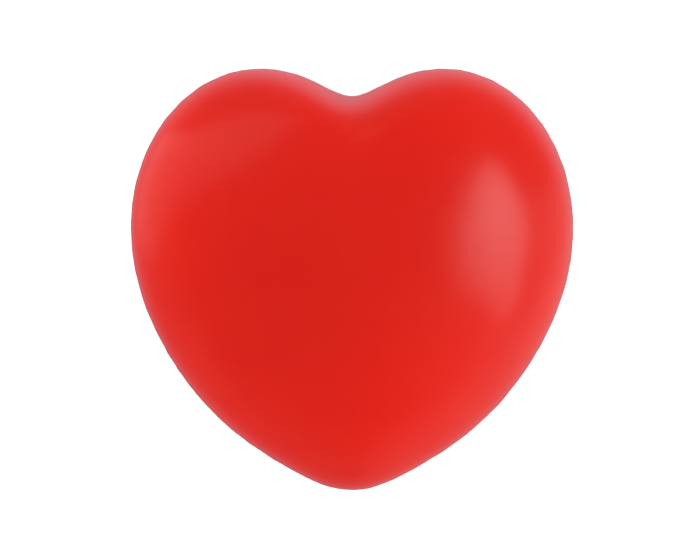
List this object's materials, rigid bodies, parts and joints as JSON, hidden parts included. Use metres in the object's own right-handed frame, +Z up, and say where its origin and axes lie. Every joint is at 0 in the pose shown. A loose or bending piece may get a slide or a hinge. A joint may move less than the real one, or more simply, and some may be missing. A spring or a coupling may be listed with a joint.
{
  "type": "stress ball",
  "caption": "Palm-sized heart-shaped foam stress ball with a smooth satin skin, a seam line round its girth and a flat foot on its back; it squeezes and springs back.",
  "frame": {"origin": "on the surface that the heart lies on, under the middle of its outline", "axes": "+X across the heart's width, +Y from its tip towards its two lobes, +Z up out of its front"},
  "size_m": [0.075, 0.0715, 0.052],
  "materials": {
    "skin_coat": "satin in-mould polyurethane coat",
    "seam_flash": "trimmed coat flash, slightly duller",
    "gate_seal": "dull dab of coat over a cut foam stub",
    "foam": "flexible polyurethane foam, open cells"
  },
  "bodies": {
    "back": {"back_skin": "skin_coat", "foam_core": "foam", "seam_bead": "seam_flash", "gate_plug": "gate_seal"},
    "front": {"front_skin": "skin_coat"}
  },
  "joints": [
    {"name": "squeeze", "type": "slide", "parent": "back", "child": "front", "axis": [0, 0, -1], "range_m": [0, 0.026], "stiffness_N_per_m": 2000, "deforming": ["front_skin", "foam_core"]}
  ]
}
